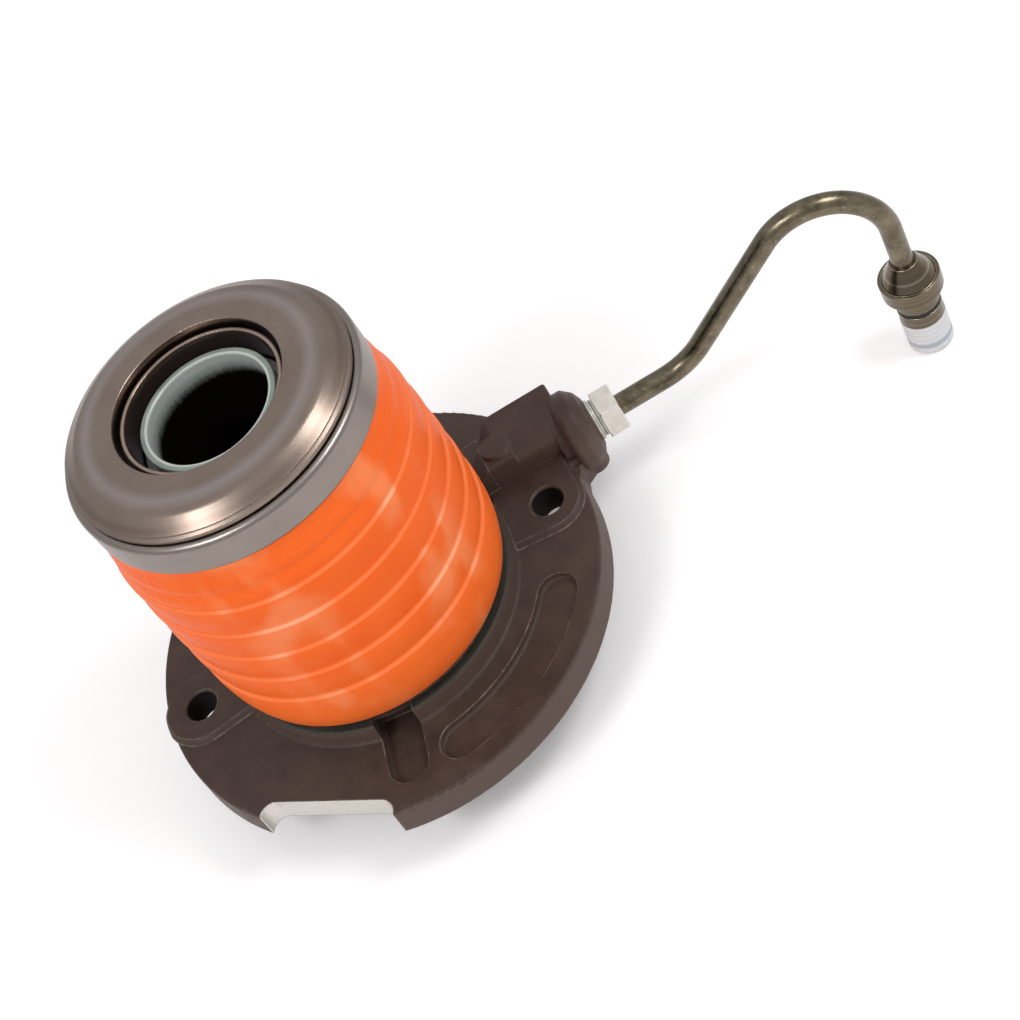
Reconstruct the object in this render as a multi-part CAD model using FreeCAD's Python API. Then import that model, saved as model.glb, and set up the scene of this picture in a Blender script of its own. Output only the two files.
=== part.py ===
import FreeCAD
import Part
import math
import os

# Clutch slave cylinder of the concentric kind, with its release bearing and hydraulic pipe.
# Millimetres. The origin is on the shaft axis in the mounting face, +Z points to the bearing,
# and +X runs along the two bolt holes and beside the pressure port.

# radii, each set by its distance from the one inside it
tube_inner_r = 16.0
tube_wall = 2.0
chamber_width = 6.0
cylinder_wall = 5.0
spring_space = 7.0
ring_wall = 2.0
hub_width = 3.0
bolt_reach = 13.0
rim_reach = 11.0

# heights above and below the mounting face
spigot_depth = 18.0
spigot_chamfer = 1.0
spigot_rise = 4.0
flange_h = 8.0
flange_draft = 0.6
hub_h = 5.0
hub_foot = 0.8
channel_step = 1.0
ring_h = 9.0
cylinder_h = 45.0
chamber_floor = 5.0
casting_round = 0.8

# bolt holes and their raised pads
bolt_hole_r = 4.5
bolt_hole_chamfer = 0.5
port_pad_r = 10.3
port_pad_hub_half = 8.6
far_pad_r = 11.6
far_pad_hub_half = 10.0
pad_h = 1.5
pad_bevel = 1.2

# notch in the rim, radial drain slot and kidney pocket
notch_angle = -122.0
notch_width = 38.5
notch_depth = 7.7
notch_corner_r = 4.0
slot_angle = -98.5
slot_width = 11.0
slot_short_of_bolts = 2.5
slot_under_ring = 2.0
slot_floor = 4.5
slot_roof_step = 1.5
pocket_short_of_bolts = 1.0
pocket_width = 11.0
pocket_start_angle = -82.5
pocket_end_angle = -31.0
pocket_floor = 5.9

# relief groove under the spigot, with ribs across it
relief_wall = 4.0
relief_depth = 14.0
relief_ribs = 6
relief_rib_width = 4.0

# pressure port and its block
port_y = 17.0
port_above_flange = 1.0
port_reach = 10.2
boss_r = 11.7
boss_inset = 1.5
boss_start_round = 2.0
boss_nose_r = 9.4
boss_nose_length = 3.9
boss_face_length = 1.2
boss_face_r = 6.8
boss_end_round = 1.0
lug_half_width = 9.5
lug_inset = 1.2
lug_setback = 1.2
lug_corner_r = 4.0
lug_rim_round = 5.0
block_reach = 3.7
block_front = 4.6
block_back = 12.3
block_rise = 10.0
block_round = 0.8
block_front_round = 5.5
block_end_slope = 3.7
block_end_gap = 4.8
button_r = 4.2
button_setback = 0.4
button_h = 0.7
button_reach = 8.0
ramp_step = 0.3
ramp_reach = 3.6
ramp_round = 1.6
port_thread_r = 6.0
port_depth = 10.5
passage_r = 2.0

# guide tube, shaft seal and stop ring
tube_outer_round = 0.3
tube_inner_round = 0.5
tube_drop = 5.5
collar_h = 2.5
seal_seat_width = 5.0
seal_seat_depth = 10.5
shaft_lip_reach = 1.8
shaft_seal_h = 6.6
shaft_seal_case = 2.4
stop_ring_drop = 4.0
stop_ring_h = 1.4
stop_ring_reach = 1.1
stop_groove_depth = 1.2

# seal ring on the spigot
ring_groove_z = -8.0
ring_groove_h = 3.4
ring_groove_depth = 2.1
ring_proud = 0.6

# clearances
running_gap = 0.05
seat_gap = 0.05

# piston and its seal
piston_h = 37.1
piston_head_h = 4.4
piston_skirt_step = 1.5
piston_flange_step = 2.0
piston_flange_h = 2.4
piston_neck_wall = 2.0
piston_neck_h = 2.9
piston_seal_h = 5.0
piston_seal_lip = 1.2

# release bearing
cup_overhang = 1.7
cup_wall = 1.2
cup_h = 9.4
cup_roll = 1.9
cup_roll_h = 1.5
washer_rise = 1.25
washer_t = 0.6
fixed_race_h = 5.1
ball_lift = 2.1
race_lift = 2.0
race_thickness = 5.2
race_bore_gap = 2.5
race_flat_width = 6.9
race_shoulder_inset = 2.4
race_crown_width = 4.0
race_crown_drop = 1.1
race_shoulder_h = 4.1
race_edge_h = 0.35
race_lip_inset = 1.7
race_lip_h = 1.5
ball_r = 3.5
ball_count = 16
groove_gap = 0.15
sleeve_gap = 0.4
sleeve_wall = 1.1
sleeve_drop = 2.1
clip_depth = 0.6
clip_width = 1.85
clip_h = 1.2
cage_half_width = 4.6
cage_h = 1.8
pocket_gap = 0.15
inner_seal_width = 2.3
inner_seal_h = 1.4
inner_seal_drop = 0.7
outer_seal_width = 1.5
outer_seal_h = 1.5

# preload spring and its seats
wire_r = 1.6
spring_half_turns = 12
seat_t = 1.2

# bellows boot
boot_gap = 3.5
boot_wall = 1.3
boot_foot_width = 2.7
boot_crest_width = 4.8
boot_taper = 0.056
boot_crease = 0.9
boot_ledge = 1.0
boot_folds = 5
boot_first_crest = 12.0
boot_head_h = 18.9
boot_head_inset = 0.4

# port nut and pipe
nut_flats = 13.0
nut_start = 2.2
nut_length = 5.8
nut_chamfer = 0.7
nut_turn = 12.0
nut_washer_r = 5.4
pipe_r = 3.0
pipe_bore_r = 2.0
flare_r = 4.6
flare_length = 2.6
flare_gap = 0.4
pipe_exit_run = 21.85
pipe_bend_r = 18.0
pipe_rise_angle = 44.2
pipe_side_angle = -11.7
pipe_rise_run = 37.0
pipe_drop_run = 12.5

# quick connector and its transport cap
connector_bead_r = 4.5
connector_bead_h = 1.2
connector_cone_h = 4.6
connector_cone_r = 7.4
connector_rim_r = 8.35
connector_rim_h = 5.4
connector_rim_chamfer = 0.8
connector_neck_h = 4.3
connector_collar_r = 6.1
connector_groove_h = 1.7
connector_groove_depth = 1.1
connector_lower_collar_h = 4.0
connector_nose_r = 5.2
connector_nose_h = 8.6
connector_socket_depth = 9.0
cap_wall = 1.0
cap_length = 10.9
cap_round = 1.0

# radii worked out from the widths
tube_r = tube_inner_r + tube_wall
chamber_r = tube_r + chamber_width
cylinder_r = chamber_r + cylinder_wall
ring_inner_r = cylinder_r + spring_space
ring_r = ring_inner_r + ring_wall
spigot_r = ring_r
hub_r = ring_r + hub_width
hub_foot_r = hub_r + hub_foot
hub_inside = hub_r - hub_foot
bolt_circle_r = hub_r + bolt_reach
flange_r = bolt_circle_r + rim_reach
notch_floor_r = flange_r - notch_depth
slot_end_r = bolt_circle_r - slot_short_of_bolts
slot_inner_r = ring_inner_r - slot_under_ring
pocket_r = bolt_circle_r - pocket_short_of_bolts
seal_seat_r = tube_r + seal_seat_width
relief_inner_r = seal_seat_r + relief_wall
relief_outer_r = spigot_r - relief_wall - ring_groove_depth
shaft_lip_r = tube_inner_r - shaft_lip_reach
spring_r = (cylinder_r + ring_inner_r) / 2
piston_inner_r = tube_r + running_gap
piston_outer_r = chamber_r - running_gap
piston_skirt_r = chamber_r - piston_skirt_step
piston_flange_r = cylinder_r - piston_flange_step
piston_neck_r = tube_r + piston_neck_wall
cup_r = ring_r + cup_overhang
cup_inner_r = cup_r - cup_wall
race_bore_r = piston_neck_r + race_bore_gap
race_flat_r = race_bore_r + race_flat_width
race_shoulder_r = cup_r - race_shoulder_inset
race_lip_r = cup_r - race_lip_inset
ball_circle_r = (race_bore_r + race_shoulder_r) / 2
sleeve_inner_r = piston_neck_r + sleeve_gap
sleeve_r = sleeve_inner_r + sleeve_wall
clip_inner_r = piston_neck_r - clip_depth
clip_outer_r = clip_inner_r + clip_width
inner_seal_r = sleeve_r + inner_seal_width
boot_sleeve_r = ring_r + seat_gap
boot_foot_r = ring_r + boot_foot_width
boot_crest_r = ring_r + boot_crest_width
boot_head_r = cup_r - boot_head_inset

# heights worked out from the steps
hub_top = flange_h + hub_h
channel_floor = hub_top + channel_step
ring_top = channel_floor + ring_h
cylinder_top = hub_top + cylinder_h
pad_top = flange_h + pad_h
slot_roof = hub_top - slot_roof_step
seal_seat_top = seal_seat_depth - spigot_depth
stop_ring_z = cylinder_top - stop_ring_drop
piston_bottom = stop_ring_z - running_gap - piston_head_h
piston_flange_top = piston_bottom + piston_h
cup_bottom = piston_flange_top + washer_rise
cup_plate_top = cup_bottom + cup_wall
cup_top = cup_bottom + cup_h
fixed_race_top = cup_plate_top + fixed_race_h
piston_neck_top = cup_plate_top + piston_neck_h
clip_z = cup_plate_top + seat_gap
ball_z = fixed_race_top + ball_lift
race_under = ball_z + race_lift
bearing_top = race_under + race_thickness
race_shoulder_z = bearing_top - race_shoulder_h
inner_seal_z = race_under - inner_seal_drop
sleeve_top = bearing_top - sleeve_drop
tube_top = bearing_top - tube_drop
spring_bottom = channel_floor + seat_t
spring_top = cup_bottom - seat_t
boot_bottom = hub_top + boot_gap
boot_low_crest = boot_bottom + boot_first_crest
boot_pitch = (cup_bottom - boot_head_h - boot_low_crest) / (boot_folds - 1)

# places of the port and its block
port_z = flange_h + port_above_flange
port_face_x = flange_r + port_reach
port_floor_x = port_face_x - port_depth
lug_start_x = flange_r - lug_inset
boss_start_x = flange_r + boss_inset
block_end_x = flange_r + block_reach
block_front_y = port_y - block_front
block_back_y = port_y + block_back
block_top = port_z + block_rise
block_foot_x = hub_r + block_end_gap
button_x = hub_r + button_reach
beyond = 2 * port_face_x

z_axis = FreeCAD.Vector(0, 0, 1)
y_axis = FreeCAD.Vector(0, 1, 0)
x_axis = FreeCAD.Vector(1, 0, 0)
origin = FreeCAD.Vector(0, 0, 0)


def vector(x, y, z):
    return FreeCAD.Vector(x, y, z)


def rounded_wire(corners):
    """Closed wire through corners given as (vector, rounding)."""
    edges = []
    exits = []
    entries = []
    middles = []
    count = len(corners)
    for i in range(count):
        here, radius = corners[i]
        before = corners[i - 1][0]
        after = corners[(i + 1) % count][0]
        if radius <= 0:
            entries.append(here)
            exits.append(here)
            middles.append(None)
            continue
        back = (before - here).normalize()
        ahead = (after - here).normalize()
        half = back.getAngle(ahead) / 2.0
        reach = radius / math.tan(half)
        inward = (back + ahead).normalize()
        centre = here + inward * (radius / math.sin(half))
        entries.append(here + back * reach)
        exits.append(here + ahead * reach)
        middles.append(centre - inward * radius)
    for i in range(count):
        if middles[i] is not None:
            edges.append(Part.Arc(entries[i], middles[i], exits[i]).toShape())
        start = exits[i]
        end = entries[(i + 1) % count]
        if start.distanceToPoint(end) > 1e-6:
            edges.append(Part.LineSegment(start, end).toShape())
    return Part.Wire(edges)


def turned(points):
    """Solid of revolution about Z from (radius, height) or (radius, height, rounding) points."""
    corners = []
    for point in points:
        rounding = point[2] if len(point) > 2 else 0.0
        corners.append((vector(point[0], 0, point[1]), rounding))
    return Part.Face(rounded_wire(corners)).revolve(origin, z_axis, 360)


def prism(points, bottom, top):
    """Upright prism from (x, y) or (x, y, rounding) points."""
    corners = []
    for point in points:
        rounding = point[2] if len(point) > 2 else 0.0
        corners.append((vector(point[0], point[1], bottom), rounding))
    return Part.Face(rounded_wire(corners)).extrude(vector(0, 0, top - bottom))


def ring(inner, outer, bottom, top):
    return turned([(inner, bottom), (outer, bottom), (outer, top), (inner, top)])


def cylinder_z(radius, bottom, top, x=0.0, y=0.0):
    return Part.makeCylinder(radius, top - bottom, vector(x, y, bottom), z_axis)


def cylinder_x(radius, start, end, y=0.0, z=0.0):
    return Part.makeCylinder(radius, end - start, vector(start, y, z), x_axis)


def box(x0, x1, y0, y1, z0, z1):
    return Part.makeBox(x1 - x0, y1 - y0, z1 - z0, vector(x0, y0, z0))


def turn(shape, degrees):
    shape.rotate(origin, z_axis, degrees)
    return shape


def round_edges(shape, radius, wanted):
    """Round the edges that wanted(edge) accepts."""
    edges = [edge for edge in shape.Edges if wanted(edge)]
    return shape.makeFillet(radius, edges) if edges else shape


def lies_at(edge, z):
    box_of = edge.BoundBox
    return abs(box_of.ZMin - z) < 1e-4 and abs(box_of.ZMax - z) < 1e-4


# Housing: the flange casting, with its port block, and the cylinder, spigot and boot ring joined to it

def flange_body():
    """Flange and hub as one turned form."""
    return turned([
        (cylinder_r, spigot_rise),
        (spigot_r, spigot_rise),
        (spigot_r, 0),
        (flange_r, 0),
        (flange_r - flange_draft, flange_h, casting_round),
        (hub_foot_r, flange_h, hub_foot),
        (hub_r, hub_top, casting_round),
        (ring_r, hub_top),
        (ring_r, channel_floor),
        (cylinder_r, channel_floor),
    ])


def bolt_pad(outer_r, hub_half):
    """Raised pad round a bolt hole on +X, narrower where it runs in to the hub."""
    tangent = math.asin((outer_r - hub_half) / (bolt_circle_r - hub_inside))
    touch_x = bolt_circle_r - outer_r * math.sin(tangent)
    touch_y = outer_r * math.cos(tangent)
    wedge = prism([
        (hub_inside, -hub_half),
        (touch_x, -touch_y),
        (touch_x, touch_y),
        (hub_inside, hub_half),
    ], 0, pad_top)
    return cylinder_z(outer_r, 0, pad_top, bolt_circle_r).fuse(wedge).removeSplitter()


def bevel_pad(pad):
    pad = pad.makeChamfer(pad_bevel, [edge for edge in pad.Edges if lies_at(edge, pad_top)])
    return pad.common(cylinder_z(flange_r, 0, pad_top))


def port_pad():
    """Pad on the port's side, which fills the corner between its hole and the port block."""
    corner_x = bolt_circle_r + port_pad_r
    corner_y = block_front_y + 2 * pad_bevel
    corner = box(hub_inside, corner_x, 0, corner_y, 0, pad_top)
    return bevel_pad(bolt_pad(port_pad_r, port_pad_hub_half).fuse(corner).removeSplitter())


def far_pad():
    return turn(bevel_pad(bolt_pad(far_pad_r, far_pad_hub_half)), 180)


def port_boss():
    """Round boss of the port, with a foot that reaches down to the mounting face."""
    length = port_face_x - boss_start_x
    boss = turned([
        (0, 0),
        (boss_r, 0, boss_start_round),
        (boss_r, length - boss_nose_length, boss_end_round),
        (boss_nose_r, length - boss_face_length, boss_end_round),
        (boss_face_r, length),
        (0, length),
    ])
    boss.rotate(origin, y_axis, 90)
    boss.translate(vector(boss_start_x, port_y, port_z))
    foot = prism([
        (lug_start_x, port_y - lug_half_width),
        (port_face_x - lug_setback, port_y - lug_half_width, lug_corner_r),
        (port_face_x - lug_setback, port_y + lug_half_width, lug_corner_r),
        (lug_start_x, port_y + lug_half_width),
    ], 0, port_z)
    return boss.common(box(0, beyond, -beyond, beyond, 0, beyond)).fuse(foot)


def rim_web():
    """Fillet in plan between the rim and the front of the port's foot."""
    foot_y = port_y - lug_half_width
    return prism([
        (bolt_circle_r, port_y),
        (bolt_circle_r, 0),
        (flange_r - flange_draft, 0),
        (flange_r + lug_rim_round * 0.2, foot_y - lug_rim_round * 0.35),
        (flange_r + lug_rim_round * 0.75, foot_y),
        (flange_r + lug_rim_round * 0.75, port_y),
    ], 0, flange_h)


def block_body():
    """Block between the hub and the boss, with a sloping inner end, a ramp and a round button on top."""
    block = prism([
        (hub_inside, block_front_y),
        (block_end_x, block_front_y),
        (block_end_x, block_back_y, block_round),
        (hub_inside, block_back_y),
    ], 0, block_top)

    def on_front(edge):
        return lies_at(edge, block_top) and edge.BoundBox.YMax < block_front_y + 1e-4

    def on_back(edge):
        return lies_at(edge, block_top) and edge.BoundBox.YMin > block_back_y - block_round - 1e-4

    block = round_edges(block, block_front_round, on_front)
    block = round_edges(block, block_round, on_back)
    slope = Part.Face(Part.makePolygon([
        vector(0, 0, hub_top),
        vector(block_foot_x, 0, hub_top),
        vector(block_foot_x + block_end_slope, 0, block_top),
        vector(block_foot_x + block_end_slope, 0, 2 * block_top),
        vector(0, 0, 2 * block_top),
        vector(0, 0, hub_top),
    ])).extrude(vector(0, beyond, 0))
    button_top = block_top + button_h
    button = cylinder_z(button_r, flange_h, button_top, button_x, port_y + button_setback)
    button = round_edges(button, button_h / 2, lambda edge: lies_at(edge, button_top))
    ramp_end_x = button_x + ramp_reach
    ramp = Part.Face(Part.makePolygon([
        vector(hub_inside, block_front_y, flange_h),
        vector(ramp_end_x, block_front_y, flange_h),
        vector(ramp_end_x, block_front_y, block_top - ramp_step),
        vector(button_x - button_r, block_front_y, block_top - 2 * ramp_step),
        vector(hub_inside, block_front_y, hub_top),
        vector(hub_inside, block_front_y, flange_h),
    ])).extrude(vector(0, port_y + button_r - block_front_y, 0))
    ramp = round_edges(ramp, ramp_round, lambda edge: edge.BoundBox.YMax < block_front_y + 1e-4
                       and edge.BoundBox.ZMin > hub_top + 1e-4 and edge.BoundBox.XLength > 1e-4)
    return block.cut(slope).fuse([button, ramp])


def notch_cut():
    """Cutter for the notch in the rim."""
    half = notch_width / 2
    cutter = prism([
        (notch_floor_r, -half, notch_corner_r),
        (notch_floor_r, half, notch_corner_r),
        (flange_r + notch_corner_r, half),
        (flange_r + notch_corner_r, -half),
    ], -1, pad_top + 1)
    return turn(cutter, notch_angle)


def slot_cut():
    """Cutter for the drain slot, which also runs in under the ring."""
    cutter = cylinder_z(slot_width / 2, slot_floor, hub_top + 1, slot_end_r)
    straight = box(ring_r - 1, slot_end_r, -slot_width / 2, slot_width / 2, slot_floor, hub_top + 1)
    cutter = cutter.fuse(straight).removeSplitter()
    cutter = round_edges(cutter, casting_round, lambda edge: lies_at(edge, slot_floor))
    cutter = cutter.cut(cylinder_z(ring_r, 0, beyond))
    under = box(slot_inner_r, ring_r + 1, -slot_width / 2, slot_width / 2, slot_floor, slot_roof)
    return turn(cutter.fuse(under), slot_angle)


def pocket_cut():
    """Cutter for the kidney-shaped pocket in the flange."""
    half = pocket_width / 2
    span = pocket_end_angle - pocket_start_angle
    profile = Part.Face(Part.Wire(Part.makePolygon([
        vector(pocket_r - half, 0, pocket_floor),
        vector(pocket_r + half, 0, pocket_floor),
        vector(pocket_r + half, 0, pad_top + 1),
        vector(pocket_r - half, 0, pad_top + 1),
        vector(pocket_r - half, 0, pocket_floor),
    ])))
    cutter = profile.revolve(origin, z_axis, span)
    first = cylinder_z(half, pocket_floor, pad_top + 1, pocket_r)
    last = turn(cylinder_z(half, pocket_floor, pad_top + 1, pocket_r), span)
    cutter = cutter.fuse([first, last]).removeSplitter()
    cutter = round_edges(cutter, casting_round, lambda edge: lies_at(edge, pocket_floor))
    return turn(cutter, pocket_start_angle)


def relief_cut():
    """Ribbed relief groove in the end of the spigot."""
    groove = ring(relief_inner_r, relief_outer_r, -spigot_depth - 1, relief_depth - spigot_depth)
    for i in range(relief_ribs):
        rib = box(relief_inner_r - 1, relief_outer_r + 1, -relief_rib_width / 2, relief_rib_width / 2,
                  -spigot_depth - 1, relief_depth - spigot_depth)
        groove = groove.cut(turn(rib, (i + 0.5) * 360.0 / relief_ribs))
    return groove


def bolt_cuts():
    """Cutters for both bolt holes, each with a small chamfer at the top."""
    cutters = []
    sink = 2 * bolt_hole_chamfer
    for side in (1, -1):
        x = side * bolt_circle_r
        cutters.append(cylinder_z(bolt_hole_r, -1, pad_top + 1, x))
        place = vector(x, 0, pad_top - bolt_hole_chamfer)
        cutters.append(Part.makeCone(bolt_hole_r, bolt_hole_r + sink, sink, place, z_axis))
    return cutters


def passage_cut():
    """Drilling that feeds the chamber from the port."""
    return cylinder_x(passage_r, 0, port_floor_x + 1, port_y, port_z)


def casting():
    """The whole flange casting, before its port block is taken as a piece of its own."""
    body = flange_body()
    body = body.fuse([port_pad(), far_pad(), port_boss(), rim_web(), block_body()]).removeSplitter()
    thread = cylinder_x(port_thread_r, port_floor_x, port_face_x + 1, port_y, port_z)
    cutters = [notch_cut(), slot_cut(), pocket_cut(), thread, passage_cut()] + bolt_cuts()
    for cutter in [cylinder_z(cylinder_r, -1, beyond)] + cutters:
        body = body.cut(cutter)
    return body


def port_zone():
    """Space of the port block within the casting."""
    start_x = button_x - button_r - seat_gap
    return prism([
        (start_x, block_front_y),
        (lug_start_x, block_front_y),
        (lug_start_x, port_y - boss_r),
        (port_face_x + 1, port_y - boss_r),
        (port_face_x + 1, block_back_y),
        (start_x, block_back_y),
    ], -1, 2 * block_top)


def housing():
    return casting().cut(port_zone())


def port_block():
    return casting().common(port_zone())


def pressure_cylinder():
    """Sleeve with the annular pressure chamber round the guide tube."""
    body = turned([
        (tube_r, 0),
        (cylinder_r, 0),
        (cylinder_r, cylinder_top, casting_round),
        (chamber_r, cylinder_top, casting_round),
        (chamber_r, chamber_floor),
        (tube_r, chamber_floor),
    ])
    groove_top = stop_ring_z + stop_ring_h + 2 * seat_gap
    groove = ring(chamber_r - 1, chamber_r + stop_groove_depth, stop_ring_z, groove_top)
    return body.cut(groove).cut(passage_cut())


def locating_spigot():
    """Ring that centres the cylinder in the gearbox, with a seal groove and a relieved end."""
    groove_r = spigot_r - ring_groove_depth
    groove_top = ring_groove_z + ring_groove_h
    body = turned([
        (seal_seat_r, -spigot_depth),
        (spigot_r, -spigot_depth, spigot_chamfer),
        (spigot_r, ring_groove_z),
        (groove_r, ring_groove_z),
        (groove_r, groove_top),
        (spigot_r, groove_top),
        (spigot_r, spigot_rise),
        (cylinder_r, spigot_rise),
        (cylinder_r, 0),
        (tube_r, 0),
        (tube_r, seal_seat_top),
        (seal_seat_r, seal_seat_top),
    ])
    return body.cut(relief_cut())


def boot_ring():
    """Upstanding ring that carries the boot's lower sleeve."""
    return turned([
        (ring_inner_r, channel_floor),
        (ring_r, channel_floor),
        (ring_r, ring_top, ring_wall / 3),
        (ring_inner_r, ring_top, ring_wall / 3),
    ])


# Pieces fixed in the housing

def guide_tube():
    collar_bottom = seal_seat_top - collar_h
    collar_r = seal_seat_r - running_gap
    return turned([
        (tube_inner_r, collar_bottom),
        (collar_r, collar_bottom),
        (collar_r, seal_seat_top),
        (tube_r, seal_seat_top),
        (tube_r, tube_top, tube_outer_round),
        (tube_inner_r, tube_top, tube_inner_round),
    ])


def shaft_seal():
    """Radial seal: stiff outer case, thin web and a lip that meets the input shaft."""
    top = seal_seat_top - collar_h - seat_gap
    bottom = top - shaft_seal_h
    case_inner_r = seal_seat_r - shaft_seal_case
    return turned([
        (seal_seat_r, bottom, 0.5),
        (seal_seat_r, top, 0.5),
        (shaft_lip_r + 2.4, top),
        (shaft_lip_r + 0.5, top - 2.0),
        (shaft_lip_r, top - 2.8),
        (shaft_lip_r + 1.0, top - 4.2),
        (shaft_lip_r + 2.0, top - 3.0),
        (case_inner_r, top - 1.9),
        (case_inner_r, bottom),
    ])


def spigot_ring():
    radius = (ring_groove_h - 2 * seat_gap) / 2
    outer = spigot_r + ring_proud
    middle_z = ring_groove_z + ring_groove_h / 2
    inner = spigot_r - ring_groove_depth + seat_gap
    width = outer - inner
    return turned([
        (inner, middle_z - radius, width * 0.3),
        (outer, middle_z - radius, width * 0.3),
        (outer, middle_z + radius, width * 0.3),
        (inner, middle_z + radius, width * 0.3),
    ])


def stop_ring():
    """Split wire ring in the top of the chamber that stops the piston."""
    outer = chamber_r + stop_groove_depth - seat_gap
    bottom = stop_ring_z + seat_gap
    body = ring(chamber_r - stop_ring_reach, outer, bottom, bottom + stop_ring_h)
    gap = box(0, outer + 1, -2.0, 2.0, bottom - 1, bottom + stop_ring_h + 1)
    return body.cut(turn(gap, 90))


def lower_spring_seat():
    return ring(cylinder_r + 2 * seat_gap, ring_inner_r - 2 * seat_gap, channel_floor, spring_bottom)


def port_nut():
    """Tube nut: hexagon, washer face and the shank that screws into the port."""
    hex_start = port_face_x + nut_start
    hex_end = hex_start + nut_length
    corner_r = nut_flats / 2 / math.cos(math.pi / 6)
    points = []
    for i in range(7):
        angle = math.pi / 3 * i + math.radians(nut_turn)
        points.append(vector(hex_start, port_y + corner_r * math.cos(angle), port_z + corner_r * math.sin(angle)))
    hexagon = Part.Face(Part.makePolygon(points)).extrude(vector(nut_length, 0, 0))
    rounder = turned([
        (0, 0),
        (corner_r - nut_chamfer, 0),
        (corner_r + nut_chamfer * 0.3, nut_chamfer * 0.8),
        (corner_r + nut_chamfer * 0.3, nut_length - nut_chamfer * 0.8),
        (corner_r - nut_chamfer, nut_length),
        (0, nut_length),
    ])
    rounder.rotate(origin, vector(0, 1, 0), 90)
    rounder.translate(vector(hex_start, port_y, port_z))
    head = hexagon.common(rounder)
    shank_start = port_floor_x + flare_gap + flare_length
    shank = cylinder_x(port_thread_r - running_gap, shank_start, port_face_x + nut_start * 0.35, port_y, port_z)
    washer = cylinder_x(nut_washer_r, shank_start, hex_start + 1, port_y, port_z)
    bore = cylinder_x(pipe_r + running_gap, shank_start - 1, hex_end + 1, port_y, port_z)
    return head.fuse([shank, washer]).cut(bore)


def bend(start, direction, new_direction):
    """Arc of the pipe's bend radius from start; gives the edge and the point where it ends."""
    across = new_direction - direction * direction.dot(new_direction)
    across.normalize()
    angle = direction.getAngle(new_direction)
    centre = start + across * pipe_bend_r

    def at(turned_by):
        return centre - across * (pipe_bend_r * math.cos(turned_by)) + direction * (pipe_bend_r * math.sin(turned_by))
    return Part.Arc(start, at(angle / 2), at(angle)).toShape(), at(angle)


def pipe_route():
    """Edges of the pipe's centre line and its end point."""
    rise = math.radians(pipe_rise_angle)
    side = math.radians(pipe_side_angle)
    out = vector(1, 0, 0)
    up = vector(math.cos(rise) * math.cos(side), math.cos(rise) * math.sin(side), math.sin(rise))
    down = vector(0, 0, -1)
    start = vector(port_floor_x + flare_gap, port_y, port_z)
    first = vector(port_face_x + pipe_exit_run, port_y, port_z)
    bend_one, second = bend(first, out, up)
    third = second + up * pipe_rise_run
    bend_two, fourth = bend(third, up, down)
    end = fourth + down * (pipe_drop_run + connector_socket_depth)
    edges = [
        Part.LineSegment(start, first).toShape(),
        bend_one,
        Part.LineSegment(second, third).toShape(),
        bend_two,
        Part.LineSegment(fourth, end).toShape(),
    ]
    return edges, start, end


def pipe():
    """Steel pipe with a flared end in the port."""
    edges, start, end = pipe_route()
    spine = Part.Wire(edges)
    outer = Part.Wire(Part.makeCircle(pipe_r, start, x_axis))
    inner = Part.Wire(Part.makeCircle(pipe_bore_r, start, x_axis))
    tube = spine.makePipeShell([outer], True, False)
    flare = Part.makeCone(flare_r - 0.8, flare_r, flare_length - 1.2, start, x_axis)
    shoulder = Part.makeCone(flare_r, pipe_r, 1.2, start + vector(flare_length - 1.2, 0, 0), x_axis)
    bore = spine.makePipeShell([inner], True, False)
    return tube.fuse([flare, shoulder]).cut(bore).removeSplitter()


def connector_place():
    end = pipe_route()[2]
    return end.x, end.y, end.z + connector_socket_depth


def at_connector(points):
    """Turned piece on the connector's axis, with heights counted down from its top."""
    x, y, top = connector_place()
    piece = turned([(p[0], -p[1]) + tuple(p[2:]) for p in points])
    piece.translate(vector(x, y, top))
    return piece


def connector_depths():
    """Distances down from the connector's top to each of its steps."""
    depths = {}
    depths["cone"] = connector_bead_h
    depths["rim"] = depths["cone"] + connector_cone_h
    depths["rim_end"] = depths["rim"] + connector_rim_h
    depths["groove"] = depths["rim_end"] + connector_neck_h
    depths["collar"] = depths["groove"] + connector_groove_h
    depths["nose"] = depths["collar"] + connector_lower_collar_h
    depths["end"] = depths["nose"] + connector_nose_h
    return depths


def quick_connector():
    d = connector_depths()
    socket_r = pipe_r
    groove_r = connector_collar_r - connector_groove_depth
    return at_connector([
        (socket_r, 0),
        (connector_bead_r - 0.7, 0),
        (connector_bead_r, d["cone"]),
        (connector_cone_r, d["rim"] + 0.3),
        (connector_cone_r + 0.2, d["rim"]),
        (connector_rim_r, d["rim"], 0.25),
        (connector_rim_r, d["rim_end"], connector_rim_chamfer),
        (connector_collar_r, d["rim_end"]),
        (connector_collar_r, d["groove"]),
        (groove_r, d["groove"]),
        (groove_r, d["collar"]),
        (connector_collar_r, d["collar"]),
        (connector_collar_r, d["nose"]),
        (connector_nose_r, d["nose"]),
        (connector_nose_r, d["end"], 0.6),
        (pipe_bore_r, d["end"]),
        (pipe_bore_r, connector_socket_depth),
        (socket_r, connector_socket_depth),
    ])


def connector_seal():
    """Seal ring in the connector's groove."""
    d = connector_depths()
    inner = connector_collar_r - connector_groove_depth + seat_gap
    outer = connector_collar_r - 0.1
    top = d["groove"] + seat_gap
    bottom = d["collar"] - seat_gap
    return at_connector([
        (inner, top),
        (outer, top, 0.35),
        (outer, bottom, 0.35),
        (inner, bottom),
    ])


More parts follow.
